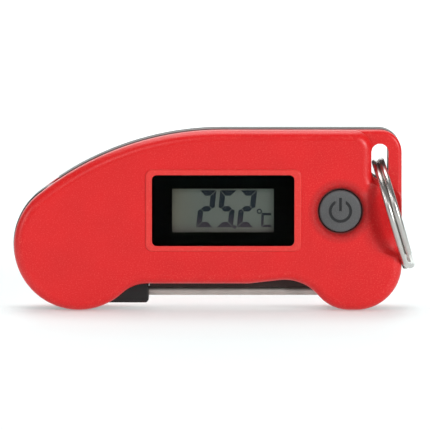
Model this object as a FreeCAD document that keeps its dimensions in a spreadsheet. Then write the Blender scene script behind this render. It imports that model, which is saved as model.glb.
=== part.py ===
"""Folding probe thermometer, built from the separate pieces that it is assembled from.

Millimetres. +Z is up, +X runs from the hinge lobe to the lanyard tab, and the display faces -Y.
The thermometer stands on the hub and on the sealing band, which are proud of the two shells.
Sketches measure X from the hinge and Z from the underside of the shells. Every piece is then
placed by -origin_x and lifted by band_proud, which brings the origin to the middle of the
footprint and the lowest point to Z = 0.
"""
import FreeCAD, Part
import math
import os
import Sketcher
from FreeCAD import Placement, Rotation, Vector

SIZES = {
    "origin_x": 40.762, "hinge_x": 0.0, "overshoot": 1.0,
    # case, side outline
    "pivot_height": 19.5, "lobe_radius": 19.5, "crown_radius": 88.3, "crown_height": 54.22,
    "corner_radius": 6.65, "corner_x": 90.48, "toe_radius": 13.7, "toe_x": 83.5,
    "instep_radius": 12.2, "instep_x": 81.46,
    "notch_radius": 13.3, "notch_x": 61.95, "belly_height": 7.97, "belly_x": 51.2,
    "throat_radius": 11.0,
    # case, levels through the thickness
    "face_y": 10.0, "tab_y": 6.8, "seam_y": 3.8, "skin": 2.6, "wall": 2.4,
    "edge_fillet": 3.0, "tab_fillet": 1.2, "rim_fillet": 0.6,
    # lanyard tab and the valley that the ring lies in
    "shoulder_x": 88.3, "shoulder_round": 6.0, "shoulder_hollow": 4.0, "tab_height": 36.87,
    "tab_heel": 3.5, "eye_x": 90.55, "eye_low": 42.0, "eye_high": 47.5, "eye_radius": 2.6,
    "valley_depth": 3.2, "valley_round": 3.5, "valley_flare": 3.0, "valley_bank": 12.0,
    "valley_scoop": 8.0, "valley_start": 7.5, "valley_end": 24.0,
    # electronics bay
    "bay_floor": 10.3, "bay_hub_radius": 22.6,
    # sealing band between the shells
    "band_proud": 0.3, "band_floor": 6.6, "band_start": -6.15, "band_hub_radius": 20.1,
    "roof_start": 21.2, "roof_end": 73.0, "boot_bay_x": 22.0, "boot_bay_height": 9.0, "tip_bay_x": 92.45,
    # probe
    "hub_radius": 19.8, "hub_y": 3.3, "probe_drop": 14.4, "boot_rise": 3.4, "boot_end": 21.0,
    "boot_round": 1.2, "pin_radius": 3.0, "pin_y": 6.8, "hub_bore": 3.05,
    "shaft_radius": 1.4, "shaft_bore": 0.9, "shaft_start": 6.0, "shaft_step": 74.95,
    "tip_radius": 0.85, "tip_bore": 0.5, "tip_step": 77.95, "tip_taper": 88.85, "tip_end": 90.45,
    "bead_radius": 0.45, "bead_start": 86.25, "bead_length": 2.0, "lead_radius": 0.2,
    "lead_spread": 0.24, "washer_radius": 8.6, "washer_bore": 3.2, "washer_gap": 0.03,
    "seal_ring_radius": 11.0, "seal_wire": 0.6, "seal_seat": 0.9,
    # display
    "bezel_x": 20.15, "bezel_z": 17.95, "bezel_long": 46.8, "bezel_high": 24.7,
    "bezel_rise": 0.5, "bezel_round": 2.1, "bezel_fillet": 0.45, "pane_x": 22.05,
    "pane_z": 19.57, "pane_long": 42.8, "pane_high": 21.4, "pane_round": 1.5,
    "pane_thick": 1.0, "pane_gap": 0.05, "pane_sunk": 0.1, "mask_thick": 0.1, "ledge": 1.0,
    "view_x": 28.18, "view_z": 23.62, "view_long": 30.5, "view_high": 13.15,
    "glass_border_x": 1.5, "glass_border_z": 1.8, "glass_front": 7.3, "glass_thick": 1.6,
    "frame_wall": 1.9, "strip_high": 1.5,
    # circuit board and what is on it
    "board_x": 28.55, "board_z": 11.5, "board_long": 55.7, "board_high": 33.2,
    "board_front": 2.6, "board_thick": 1.0, "board_round": 1.5, "capacitor_long": 1.6,
    "capacitor_high": 0.8,
    # power button
    "button_x": 78.65, "button_z": 30.05, "button_radius": 6.3, "button_gap": 0.2,
    "button_front": 9.6, "flange_radius": 7.0, "flange_front": 7.3, "flange_thick": 0.45,
    "button_flare": 2.2, "symbol_radius": 3.06, "symbol_line": 0.66, "symbol_opening": 30.0,
    "symbol_depth": 0.3, "switch_side": 6.0, "switch_front": 6.0, "plunger_radius": 1.75,
    "plunger_bore": 1.82, "plunger_front": 6.8, "plunger_long": 1.6, "plunger_well": 2.2,
    # battery
    "cell_x": 46.95, "cell_z": 30.0, "cell_radius": 10.0, "cell_front": 2.8, "cell_thick": 3.2,
    "holder_bore": 10.3, "holder_radius": 12.0, "holder_back": 5.9, "holder_floor": 2.2,
    "holder_eye": 7.2, "holder_web": 0.6, "clip_width": 3.0, "clip_thick": 0.4, "clip_play": 0.3,
    "clip_short": 0.5, "leaf_thick": 0.25, "leaf_rake": 0.1,
    "cap_radius": 13.0, "cap_gap": 0.15, "cap_seat": 8.5, "cap_back": 9.9,
    "neck_radius": 11.2, "neck_front": 6.2, "lug_radius": 12.6, "lug_thick": 1.1,
    "lug_width": 5.0, "cap_turn": 30.0, "cap_ring_radius": 12.15, "cap_ring_wire": 0.45,
    "coin_slot": 14.0, "coin_slot_width": 1.7, "coin_slot_depth": 0.9, "coin_slot_round": 0.8,
    # fasteners
    "boss_radius": 3.4, "screw_radius": 1.1, "screw_hole": 1.3, "screw_tip": 6.4,
    "head_radius": 2.1, "head_well": 2.4, "head_seat": 8.2, "head_thick": 1.5,
    "cross_long": 2.9, "cross_wide": 0.65, "cross_depth": 1.0,
    "post_radius": 1.8, "board_screw_radius": 0.8, "board_screw_head": 1.5,
    "board_screw_back": 0.9, "board_screw_tip": 6.2,
    # rear label
    "label_x": 64.45, "label_z": 20.0, "label_long": 20.0, "label_high": 18.0,
    "label_depth": 0.3,
    # split ring
    "ring_x": 90.3, "ring_z": 44.12, "ring_tilt": 16.5, "ring_radius": 16.45,
    "ring_wire": 1.9, "ring_crossing": 20.0,
}

CASE_SCREWS = [(20.75, 45.35), (62.95, 48.45), (90.95, 12.2), (24.85, 13.6)]
BOARD_SCREWS = [(31.95, 43.1), (66.95, 13.9), (81.95, 43.0)]
CAPACITORS = [(65.5, 26.1), (65.5, 28.6), (69.0, 26.1), (69.0, 28.6), (73.0, 20.6), (76.5, 20.6)]
# left, low, long, high and thick
CHIPS = {
    "microcontroller": (66.45, 33.6, 6.5, 6.5, 1.0),
    "probe_converter": (71.95, 15.0, 5.0, 4.0, 1.1),
    "clock_crystal": (67.45, 42.0, 3.2, 2.2, 0.8),
}
# the negative contact's two flats, in X from the cell's centre: foot, then tongue
LEAF_FOOT, LEAF_TONGUE = (-5.0, -2.0), (3.0, 5.5)
LUG_ANGLES = [90.0, 210.0, 330.0]
RING_CENTRE_X = "Sizes.ring_x + Sizes.ring_radius * sin(Sizes.ring_tilt)"
RING_CENTRE_Z = "Sizes.ring_z - Sizes.ring_radius * cos(Sizes.ring_tilt)"

doc = FreeCAD.newDocument("FoldingThermometer")
sheet = doc.addObject("Spreadsheet::Sheet", "Sizes")
for row, (alias, number) in enumerate(SIZES.items(), start=1):
    sheet.set(f"A{row}", alias)
    sheet.set(f"B{row}", str(number))
    sheet.setAlias(f"B{row}", alias)
doc.recompute()

nodes = []


def size(alias):
    """The number in a cell of the sheet."""
    return float(sheet.get(alias))


def point(x, z):
    """A sketch point: X across and Z up, on a sketch that lies in the X-Z plane."""
    return Vector(x, z, 0)


def polar(centre, radius, angle):
    """The sketch point at an angle, in radians, round a centre."""
    return point(centre.x + radius * math.cos(angle), centre.y + radius * math.sin(angle))


def heading(start, end):
    """The angle of the direction from one sketch point to another."""
    return math.atan2(end.y - start.y, end.x - start.x)


def line(start, end):
    """A straight sketch edge."""
    return Part.LineSegment(start, end)


def arc(centre, radius, start, end):
    """A round sketch edge that runs anticlockwise from the start angle to the end angle."""
    while end < start:
        end += 2 * math.pi
    return Part.ArcOfCircle(Part.Circle(centre, Vector(0, 0, 1), radius), start, end)


def rectangle(x, z, long, high):
    """Four straight edges from a lower left corner."""
    corners = [point(x, z), point(x + long, z), point(x + long, z + high), point(x, z + high)]
    return [line(corners[i - 1], corners[i]) for i in range(4)]


def rounded(x, z, long, high, radius):
    """A rectangle with round corners."""
    left, right, low, top = x + radius, x + long - radius, z + radius, z + high - radius
    quarter = math.pi / 2
    centres = [point(right, top), point(left, top), point(left, low), point(right, low)]
    arcs = [arc(c, radius, i * quarter, (i + 1) * quarter) for i, c in enumerate(centres)]
    lines = [line(arcs[i - 1].EndPoint, arcs[i].StartPoint) for i in range(4)]
    return arcs + lines


def obround(x, low, high, radius):
    """An upright slot with round ends."""
    return [
        arc(point(x, high), radius, 0, math.pi),
        arc(point(x, low), radius, math.pi, 2 * math.pi),
        line(point(x - radius, high), point(x - radius, low)),
        line(point(x + radius, low), point(x + radius, high)),
    ]


def circle(x, z, radius):
    """A whole circle."""
    return [Part.Circle(point(x, z), Vector(0, 0, 1), radius)]


class Outline:
    """The case's side view: circles joined by tangent lines, all moved out by one distance.

    An outline that is moved out stays flush at its right side, behind the hanging ring.
    """

    def __init__(self, grow):
        self.grow = grow
        self.lobe = point(0, size("pivot_height"))
        self.lobe_r = size("lobe_radius") + grow
        crown_z = size("crown_height") - size("crown_radius")
        reach = size("crown_radius") - size("lobe_radius")
        drop = size("pivot_height") - crown_z
        self.crown = point(math.sqrt(reach ** 2 - drop ** 2), crown_z)
        self.crown_r = size("crown_radius") + grow
        flush = max(grow, 0)
        self.corner = point(size("corner_x") - flush, size("crown_height") - size("corner_radius"))
        self.corner_r = size("corner_radius") + grow
        self.toe = point(size("toe_x") - flush, size("toe_radius"))
        self.toe_r = size("toe_radius") + grow
        self.instep = point(size("instep_x"), size("instep_radius"))
        self.instep_r = size("instep_radius") + grow
        reach = size("instep_radius") + size("notch_radius")
        drop = math.sqrt(reach ** 2 - (self.instep.x - size("notch_x")) ** 2)
        self.notch = point(size("notch_x"), size("instep_radius") - drop)
        self.notch_r = size("notch_radius") - grow
        throat_z = size("belly_height") - size("throat_radius")
        reach = size("lobe_radius") + size("throat_radius")
        drop = size("pivot_height") - throat_z
        self.throat = point(math.sqrt(reach ** 2 - drop ** 2), throat_z)
        self.throat_r = size("throat_radius") - grow
        span = (self.corner - self.toe).Length
        lean = math.acos((self.toe_r - self.corner_r) / span)
        self.side_angle = heading(self.toe, self.corner) - lean
        self.crown_angle = heading(self.crown, self.lobe)

    def top(self):
        """The crown's highest point, where its arc meets the straight stretch."""
        return polar(self.crown, self.crown_r, math.pi / 2)

    def belly(self):
        """Edges from the hinge lobe, along the underside, round the toe."""
        bend = point(size("belly_x"), size("belly_height") - self.grow)
        gap = (bend - self.notch).Length
        notch_end = heading(self.notch, bend) - math.acos(self.notch_r / gap)
        quarter = math.pi / 2
        sole = [polar(self.instep, self.instep_r, -quarter), polar(self.toe, self.toe_r, -quarter)]
        return [
            arc(self.throat, self.throat_r, quarter, heading(self.throat, self.lobe)),
            line(polar(self.throat, self.throat_r, quarter), bend),
            line(bend, polar(self.notch, self.notch_r, notch_end)),
            arc(self.notch, self.notch_r, heading(self.notch, self.instep), notch_end),
            arc(self.instep, self.instep_r, heading(self.instep, self.notch), -quarter),
            line(*sole),
            arc(self.toe, self.toe_r, -quarter, self.side_angle),
        ]

    def back(self):
        """The lobe's arc and the crown's arc."""
        return [
            arc(self.lobe, self.lobe_r, self.crown_angle, heading(self.lobe, self.throat)),
            arc(self.crown, self.crown_r, math.pi / 2, self.crown_angle),
        ]

    def tab_corner(self):
        """The right side and the round corner of the lanyard tab."""
        quarter = math.pi / 2
        return [
            line(polar(self.toe, self.toe_r, self.side_angle),
                 polar(self.corner, self.corner_r, self.side_angle)),
            arc(self.corner, self.corner_r, self.side_angle, quarter),
            line(polar(self.corner, self.corner_r, quarter), self.top()),
        ]

    def shoulder(self):
        """The raised face's edge, which steps in round the tab: heel, hollow, then round."""
        grow, quarter = self.grow, math.pi / 2
        round_r, hollow_r = size("shoulder_round") + grow, size("shoulder_hollow") - grow
        heel_r = size("tab_heel") + grow
        normal = Vector(math.cos(self.side_angle), math.sin(self.side_angle), 0)
        side = normal.dot(self.toe) + size("toe_radius") - size("tab_heel")
        heel_z = size("tab_height") - size("tab_heel")
        heel = point((side - normal.y * heel_z) / normal.x, heel_z)
        hollow = point(size("shoulder_x") + size("shoulder_hollow"),
                       size("tab_height") + size("shoulder_hollow"))
        knee = point(size("shoulder_x") - size("shoulder_round"),
                     size("crown_height") - size("shoulder_round"))
        return heel, [
            arc(heel, heel_r, self.side_angle, quarter),
            line(polar(heel, heel_r, quarter), polar(hollow, hollow_r, 3 * quarter)),
            arc(hollow, hollow_r, 2 * quarter, 3 * quarter),
            line(polar(hollow, hollow_r, 2 * quarter), polar(knee, round_r, 0)),
            arc(knee, round_r, 0, quarter),
            line(polar(knee, round_r, quarter), self.top()),
        ]

    def whole(self):
        """The full side view, lanyard tab included."""
        return self.back() + self.belly() + self.tab_corner()

    def face(self):
        """The raised face: the side view without the tab's corner."""
        heel, shoulder = self.shoulder()
        side = line(polar(self.toe, self.toe_r, self.side_angle),
                    polar(heel, size("tab_heel") + self.grow, self.side_angle))
        return self.back() + self.belly() + [side] + shoulder

    def bay(self):
        """The electronics bay: clear of the hinge hub, the underside and the ring's valley."""
        shoulder = self.shoulder()[1][-3:]
        floor, hub_r = size("bay_floor"), size("bay_hub_radius")
        hub_low = -math.asin((self.lobe.y - floor) / hub_r)
        gap = (self.crown - self.lobe).Length
        turn = (self.crown_r ** 2 + gap ** 2 - hub_r ** 2) / (2 * self.crown_r * gap)
        crown_end = self.crown_angle - math.acos(turn)
        hub_high = heading(self.lobe, polar(self.crown, self.crown_r, crown_end))
        corner = point(size("shoulder_x") + self.grow, floor)
        return [
            arc(self.lobe, hub_r, hub_low, hub_high),
            line(polar(self.lobe, hub_r, hub_low), corner),
            line(corner, point(corner.x, size("crown_height") - size("shoulder_round"))),
            arc(self.crown, self.crown_r, math.pi / 2, crown_end),
        ] + shoulder[1:]


def place(piece):
    """Move a piece so that the origin is at the middle of the footprint."""
    piece.setExpression("Placement.Base.x", "-Sizes.origin_x")
    piece.setExpression("Placement.Base.z", "Sizes.band_proud")


def new_body(label):
    """A PartDesign body that becomes a piece of its own."""
    body = doc.addObject("PartDesign::Body", label)
    place(body)
    nodes.append(body)
    return body


def new_sketch(body, role, depth, curves):
    """A sketch of the given edges on one of the body's origin planes, moved out by a depth."""
    sketch = body.newObject("Sketcher::SketchObject", f"{body.Name}_sketch")
    plane = next(f for f in body.Origin.OriginFeatures if f.Role == role)
    sketch.AttachmentSupport = (plane, [""])
    sketch.MapMode = "FlatFace"
    sketch.setExpression("AttachmentOffset.Base.z", depth)
    for curve in curves:
        sketch.addGeometry(curve, False)
    return sketch


def slab(body, curves, near, far, cut=False):
    """Add or cut a flat-sided layer between two Y levels, given as expressions."""
    sketch = new_sketch(body, "XZ_Plane", f"-({near})", curves)
    before = body.Shape.Volume if cut else 0
    kind = "PartDesign::Pocket" if cut else "PartDesign::Pad"
    layer = body.newObject(kind, f"{body.Name}_{'cut' if cut else 'layer'}")
    layer.Profile = sketch
    layer.Reversed = not cut
    layer.setExpression("Length", f"({far}) - ({near})")
    doc.recompute()
    if cut and not body.Shape.Volume < before:
        raise RuntimeError(f"{body.Label}: a cut from {near} to {far} removed nothing")
    return layer


def round_body(label, radius, near, far, x, z):
    """A body that starts as a disc: radius, Y levels and centre, all given as expressions."""
    body = new_body(label)
    disc(body, radius, near, far, x, z)
    return body


def disc(body, radius, near, far, x, z, cut=False):
    """Add or cut a round layer whose sketch is bound to the sheet."""
    layer = slab(body, circle(size(x), size(z), size(radius)), near, far, cut)
    sketch = layer.Profile[0]
    sketch.addConstraint(Sketcher.Constraint("Radius", 0, size(radius)))
    sketch.setExpression("Constraints[0]", f"Sizes.{radius}")
    doc.recompute()
    return layer


def levels(side, inner, outer):
    """The near and far Y levels of a layer on the front (-1) or the rear (+1) half."""
    return (f"-({outer})", f"-({inner})") if side < 0 else (inner, outer)


def edges_where(feature, test):
    """The names of a feature's edges whose every point passes a test."""
    names = []
    for number, edge in enumerate(feature.Shape.Edges, start=1):
        points = edge.discretize(5)
        if all(test(p) for p in points):
            names.append(f"Edge{number}")
    return names


def soften(body, feature, test, radius):
    """Round the chosen edges of a feature by a size in the sheet."""
    fillet = body.newObject("PartDesign::Fillet", f"{body.Name}_round")
    fillet.Base = (feature, edges_where(feature, test))
    fillet.setExpression("Radius", f"Sizes.{radius}")
    doc.recompute()
    return fillet


def on_level(y):
    """A test for points that lie on one Y level."""
    return lambda p: abs(p.y - y) < 1e-4


def eye_cut(body):
    """Cut the lanyard eye right through."""
    curves = obround(size("eye_x"), size("eye_low"), size("eye_high"), size("eye_radius"))
    slab(body, curves, "-Sizes.face_y", "Sizes.face_y", cut=True)


def valley_sketch(body, side, drop):
    """The valley's cross-section at a distance down the hanging ring, with its scoop's axis."""
    bottom, overshoot = size("valley_round"), 0.02
    depth = size("valley_depth") + overshoot
    level = side * (size("face_y") + overshoot)
    middle = point(0, level - side * (depth - bottom))
    flares, ends, turns = [], [], []
    for way, flare in ((-1, size("valley_bank")), (1, size("valley_flare"))):
        turn = math.acos(1 - depth / (bottom + flare))
        centre = point(way * (bottom + flare) * math.sin(turn), level - side * flare)
        top, lean = math.pi / 2 * side, heading(centre, middle)
        flares.append(arc(centre, flare, min(top, lean), max(top, lean)))
        ends.append(centre.x)
        turns.append(way * turn)
    down = -side * math.pi / 2
    dip = arc(middle, bottom, *sorted(down + side * turn for turn in turns))
    outside = level + side * bottom
    rim = [point(ends[0], level), point(ends[0], outside), point(ends[1], outside),
           point(ends[1], level)]
    walls = [line(rim[i], rim[i + 1]) for i in range(3)]
    height = f"Sizes.ring_z - Sizes.{drop} * cos(Sizes.ring_tilt)"
    sketch = new_sketch(body, "XY_Plane", height, [dip] + flares + walls)
    sketch.AttachmentOffset = Placement(Vector(), Rotation(Vector(0, 1, 0), -size("ring_tilt")))
    sketch.setExpression("AttachmentOffset.Base.x",
                         f"Sizes.ring_x + Sizes.{drop} * sin(Sizes.ring_tilt)")
    axis = level + side * (size("valley_scoop") - depth)
    sketch.addGeometry(line(point(ends[0], axis), point(ends[1], axis)), True)
    return sketch


def valley_cut(body, side):
    """Cut the soft valley that the hanging ring lies in, with a scoop at either end."""
    for drop in ("valley_start", "valley_end"):
        sketch = valley_sketch(body, side, drop)
        before = body.Shape.Volume
        scoop = body.newObject("PartDesign::Groove", f"{body.Name}_scoop")
        scoop.Profile = sketch
        scoop.ReferenceAxis = (sketch, ["Axis0"])
        scoop.Midplane = True
        scoop.Angle = 180
        doc.recompute()
        if not body.Shape.Volume < before:
            raise RuntimeError(f"{body.Label}: the scoop at {drop} removed nothing")
    before = body.Shape.Volume
    pocket = body.newObject("PartDesign::Pocket", f"{body.Name}_valley")
    pocket.Profile = valley_sketch(body, side, "valley_start")
    pocket.setExpression("Length", "Sizes.valley_end - Sizes.valley_start")
    doc.recompute()
    if not body.Shape.Volume < before:
        raise RuntimeError(f"{body.Label}: the valley removed nothing")


def case_half(label, side):
    """What both shells share: tab, raised face, bay, bosses, eye and hinge seats."""
    body = new_body(label)
    tab = slab(body, Outline(0).whole(), *levels(side, "Sizes.seam_y", "Sizes.tab_y"))
    soften(body, tab, on_level(side * size("tab_y")), "tab_fillet")
    raised = slab(body, Outline(0).face(), *levels(side, "Sizes.seam_y", "Sizes.face_y"))
    soften(body, raised, on_level(side * size("face_y")), "edge_fillet")
    slab(body, Outline(-size("wall")).bay(),
         *levels(side, "Sizes.seam_y", "Sizes.face_y - Sizes.skin"), cut=True)
    for x, z in CASE_SCREWS:
        slab(body, circle(x, z, size("boss_radius")),
             *levels(side, "Sizes.seam_y", "Sizes.face_y - Sizes.skin"))
    eye_cut(body)
    disc(body, "pin_radius", *levels(side, "Sizes.seam_y", "Sizes.pin_y"),
         "hinge_x", "pivot_height", cut=True)
    seat = [size("seal_ring_radius") + way * size("seal_wire") for way in (1, -1)]
    curves = circle(0, size("pivot_height"), seat[0]) + circle(0, size("pivot_height"), seat[1])
    slab(body, curves, *levels(side, "Sizes.seam_y", "Sizes.seam_y + Sizes.seal_seat"), cut=True)
    return body


def pane_curves(inset):
    """The display pane's rounded edge, moved in by a distance."""
    return rounded(size("pane_x") + inset, size("pane_z") + inset, size("pane_long") - 2 * inset,
                   size("pane_high") - 2 * inset, size("pane_round") - min(inset, 0.7))


BEZEL_FRONT = "-Sizes.face_y - Sizes.bezel_rise"
PANE_FRONT = "-Sizes.face_y + Sizes.pane_sunk"
PANE_BACK = f"{PANE_FRONT} + Sizes.pane_thick"
MASK_BACK = f"{PANE_BACK} + Sizes.mask_thick"
BAY_FRONT = "-Sizes.face_y + Sizes.skin"
GLASS_BACK = "-Sizes.glass_front + Sizes.glass_thick"
BOARD_BACK = "-Sizes.board_front + Sizes.board_thick"


def button_opening(body):
    """Cut the round opening for the power button, with a wide, soft edge."""
    x, z = size("button_x"), size("button_z")
    radius = size("button_radius") + size("button_gap")
    hole = slab(body, circle(x, z, radius), "-Sizes.face_y", BAY_FRONT, cut=True)
    face = on_level(-size("face_y"))
    soften(body, hole, lambda p: face(p) and abs(math.hypot(p.x - x, p.z - z) - radius) < 1e-4,
           "button_flare")


def front_shell():
    """The red front half, with the raised bezel, the button's opening and the board posts."""
    body = case_half("front_shell", -1)
    bezel = slab(body, rounded(size("bezel_x"), size("bezel_z"), size("bezel_long"),
                               size("bezel_high"), size("bezel_round")),
                 BEZEL_FRONT, "-Sizes.face_y")
    soften(body, bezel, on_level(-size("face_y") - size("bezel_rise")), "bezel_fillet")
    slab(body, pane_curves(0), BEZEL_FRONT, MASK_BACK, cut=True)
    slab(body, pane_curves(size("ledge")), MASK_BACK, BAY_FRONT, cut=True)
    button_opening(body)
    for x, z in CASE_SCREWS:
        slab(body, circle(x, z, size("screw_radius")), "-Sizes.screw_tip", "-Sizes.seam_y",
             cut=True)
    for x, z in BOARD_SCREWS:
        slab(body, circle(x, z, size("post_radius")), BAY_FRONT, "-Sizes.board_front")
        slab(body, circle(x, z, size("board_screw_radius")), "-Sizes.board_screw_tip",
             "-Sizes.board_front", cut=True)
    valley_cut(body, -1)


def spoke(angle, inner, outer, width):
    """A bar that points out from the battery's centre at an angle in degrees."""
    centre = point(size("cell_x"), size("cell_z"))
    along = polar(point(0, 0), 1, math.radians(angle))
    across = point(-along.y, along.x) * (width / 2)
    corners = [centre + along * inner - across, centre + along * outer - across,
               centre + along * outer + across, centre + along * inner + across]
    return [line(corners[i - 1], corners[i]) for i in range(4)]


def rear_shell():
    """The red rear half, with the battery opening, the screw wells and the label recess."""
    body = case_half("rear_shell", 1)
    x, z, gap = size("cell_x"), size("cell_z"), size("cap_gap")
    slab(body, circle(x, z, size("cap_radius") + gap), "Sizes.cap_seat", "Sizes.face_y", cut=True)
    ledge = ("Sizes.face_y - Sizes.skin", "Sizes.cap_seat")
    slab(body, circle(x, z, size("neck_radius") + gap), *ledge, cut=True)
    for angle in LUG_ANGLES:
        notch = spoke(angle - size("cap_turn"), size("neck_radius") - 2 * gap,
                      size("lug_radius") + gap, size("lug_width") + 2 * gap)
        slab(body, notch, *ledge, cut=True)
    for x, z in CASE_SCREWS:
        slab(body, circle(x, z, size("screw_hole")), "Sizes.seam_y", "Sizes.head_seat", cut=True)
        slab(body, circle(x, z, size("head_well")), "Sizes.head_seat", "Sizes.face_y", cut=True)
    slab(body, rounded(size("label_x"), size("label_z"), size("label_long"), size("label_high"),
                       size("rim_fillet")),
         "Sizes.face_y - Sizes.label_depth", "Sizes.face_y", cut=True)
    valley_cut(body, 1)


def mid_frame():
    """The grey sealing band between the shells, open round the hub and along the probe."""
    body = new_body("mid_frame")
    through = ("-Sizes.seam_y", "Sizes.seam_y")
    slab(body, Outline(size("band_proud")).whole(), *through)
    slab(body, Outline(-size("wall")).bay(), *through, cut=True)
    for x, z in CASE_SCREWS:
        slab(body, circle(x, z, size("boss_radius")), *through)
        slab(body, circle(x, z, size("screw_hole")), *through, cut=True)
    slab(body, circle(0, size("pivot_height"), size("band_hub_radius")), *through, cut=True)
    far_left = far_low = -2 * size("band_hub_radius")
    boot_x, start, floor = size("boot_bay_x"), size("band_start"), size("band_floor")
    slab(body, rectangle(far_left, far_low, boot_x - far_left, size("boot_bay_height") - far_low),
         *through, cut=True)
    roof = size("roof_start")
    slab(body, rectangle(roof, floor, size("roof_end") - roof, size("bay_floor") - floor),
         *through)
    slab(body, rectangle(far_left, far_low, size("tip_bay_x") - far_left, floor - far_low),
         *through, cut=True)
    slab(body, rectangle(far_left, 0, start - far_left, size("crown_height")), *through, cut=True)
    eye_cut(body)


def display():
    """The clear pane, its printed black mask, the liquid crystal cell and what holds it."""
    pane = new_body("display_window")
    slab(pane, pane_curves(size("pane_gap")), PANE_FRONT, PANE_BACK)
    mask = new_body("window_mask")
    view = rectangle(size("view_x"), size("view_z"), size("view_long"), size("view_high"))
    slab(mask, pane_curves(size("pane_gap")) + view, PANE_BACK, MASK_BACK)
    left, low = size("view_x") - size("glass_border_x"), size("view_z") - size("glass_border_z")
    long = size("view_long") + 2 * size("glass_border_x")
    high = size("view_high") + 2 * size("glass_border_z")
    glass = new_body("lcd_glass")
    slab(glass, rectangle(left, low, long, high), "-Sizes.glass_front", GLASS_BACK)
    gap, wall = size("pane_gap"), size("frame_wall")
    holder = new_body("lcd_frame")
    slab(holder, rectangle(left - wall, low - wall, long + 2 * wall, high + 2 * wall)
         + rectangle(left - gap, low - gap, long + 2 * gap, high + 2 * gap),
         "-Sizes.glass_front", "-Sizes.board_front")
    strips = new_body("lcd_connectors")
    strip = size("strip_high")
    for z in (low + gap, low + high - strip - gap):
        slab(strips, rectangle(size("view_x"), z, size("view_long"), strip),
             GLASS_BACK, "-Sizes.board_front")
    light = new_body("lcd_backlight")
    slab(light, rectangle(left + gap, low + strip + 4 * gap, long - 2 * gap,
                          high - 2 * strip - 8 * gap),
         f"{GLASS_BACK} + Sizes.mask_thick", "-Sizes.board_front - Sizes.mask_thick")


def electronics():
    """The circuit board and the pieces soldered to its front."""
    board = new_body("main_board")
    slab(board, rounded(size("board_x"), size("board_z"), size("board_long"), size("board_high"),
                        size("board_round")), "-Sizes.board_front", BOARD_BACK)
    for x, z in BOARD_SCREWS:
        slab(board, circle(x, z, size("board_screw_radius") + size("pane_gap")),
             "-Sizes.board_front", BOARD_BACK, cut=True)
    for label, (x, z, long, high, thick) in CHIPS.items():
        chip = new_body(label)
        slab(chip, rectangle(x, z, long, high), f"-Sizes.board_front - {thick}",
             "-Sizes.board_front")
    capacitors = new_body("chip_capacitors")
    for x, z in CAPACITORS:
        slab(capacitors, rectangle(x, z, size("capacitor_long"), size("capacitor_high")),
             "-Sizes.board_front - Sizes.capacitor_high", "-Sizes.board_front")


def power_switch():
    """The dome switch on the board, its plunger and the rubber button over it."""
    x, z, half = size("button_x"), size("button_z"), size("switch_side") / 2
    switch = new_body("tact_switch")
    slab(switch, rounded(x - half, z - half, 2 * half, 2 * half, size("rim_fillet")),
         "-Sizes.switch_front", "-Sizes.board_front")
    disc(switch, "plunger_bore", "-Sizes.switch_front",
         "-Sizes.switch_front + Sizes.plunger_well", "button_x", "button_z", cut=True)
    round_body("switch_plunger", "plunger_radius", "-Sizes.plunger_front",
               "-Sizes.plunger_front + Sizes.plunger_long", "button_x", "button_z")
    button = new_body("power_button")
    cap = disc(button, "button_radius", "-Sizes.button_front", "-Sizes.flange_front",
               "button_x", "button_z")
    soften(button, cap, on_level(-size("button_front")), "rim_fillet")
    disc(button, "flange_radius", "-Sizes.flange_front",
         "-Sizes.flange_front + Sizes.flange_thick", "button_x", "button_z")
    engrave_symbol(button)


def engrave_symbol(button):
    """Engrave the usual power symbol: an open circle and a bar."""
    centre = point(size("button_x"), size("button_z"))
    radius, half = size("symbol_radius"), size("symbol_line") / 2
    opening = math.radians(size("symbol_opening"))
    start, end = math.pi / 2 + opening, math.pi / 2 - opening + 2 * math.pi
    outer, inner = arc(centre, radius + half, start, end), arc(centre, radius - half, start, end)
    caps = [arc(polar(centre, radius, end), half, end, end + math.pi),
            arc(polar(centre, radius, start), half, start + math.pi, start + 2 * math.pi)]
    bar = obround(centre.x, centre.y + half, centre.y + radius + 2 * half, half)
    for curves in ([outer, inner] + caps, bar):
        slab(button, curves, "-Sizes.button_front", "-Sizes.button_front + Sizes.symbol_depth",
             cut=True)


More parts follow.
